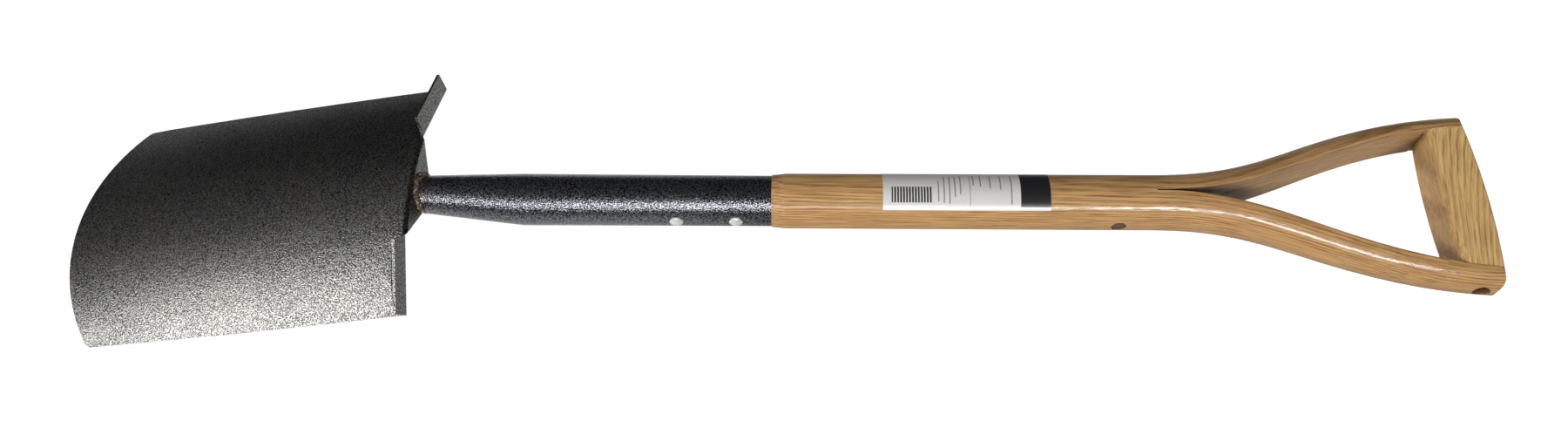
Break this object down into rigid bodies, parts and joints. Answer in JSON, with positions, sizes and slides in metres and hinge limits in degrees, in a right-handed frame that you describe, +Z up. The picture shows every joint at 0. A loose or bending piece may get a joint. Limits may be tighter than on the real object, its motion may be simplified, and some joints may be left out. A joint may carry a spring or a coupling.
{
  "type": "garden digging spade",
  "caption": "Digging spade: bowed, arched steel blade with folded foot treads, tapered tubular socket and a wooden shaft split into two arms that hold a cross grip.",
  "frame": {"origin": "middle of the bounding box in plan, on the plane the spade lies on; the spade lies face down, resting on the two cutting corners and on the ends of the arms", "axes": "+X along the length from blade to grip, +Y across the width, +Z up through the back of the spade"},
  "size_m": [1.0024, 0.189, 0.0795],
  "materials": {
    "blade_paint": "charcoal hammered enamel",
    "socket_paint": "charcoal hammered enamel",
    "weld_metal": "thinly painted, rust specked",
    "rivet_steel": "bright",
    "plain_steel": "dull",
    "ash_wood": "clear gloss lacquer",
    "grip_wood": "clear satin lacquer",
    "plug_wood": "dark end grain",
    "label_paper": "semi gloss"
  },
  "bodies": {
    "root": {"blade": "blade_paint", "socket": "socket_paint", "neck_weld": "weld_metal", "socket_rivet_lower": "rivet_steel", "socket_rivet_upper": "rivet_steel", "shaft": "ash_wood", "grip": "grip_wood", "split_rivet": "plain_steel", "split_plug_near": "plug_wood", "split_plug_far": "plug_wood", "grip_rod": "plain_steel", "rod_washer_near": "plain_steel", "rod_washer_far": "plain_steel", "label": "label_paper"}
  },
  "joints": []
}
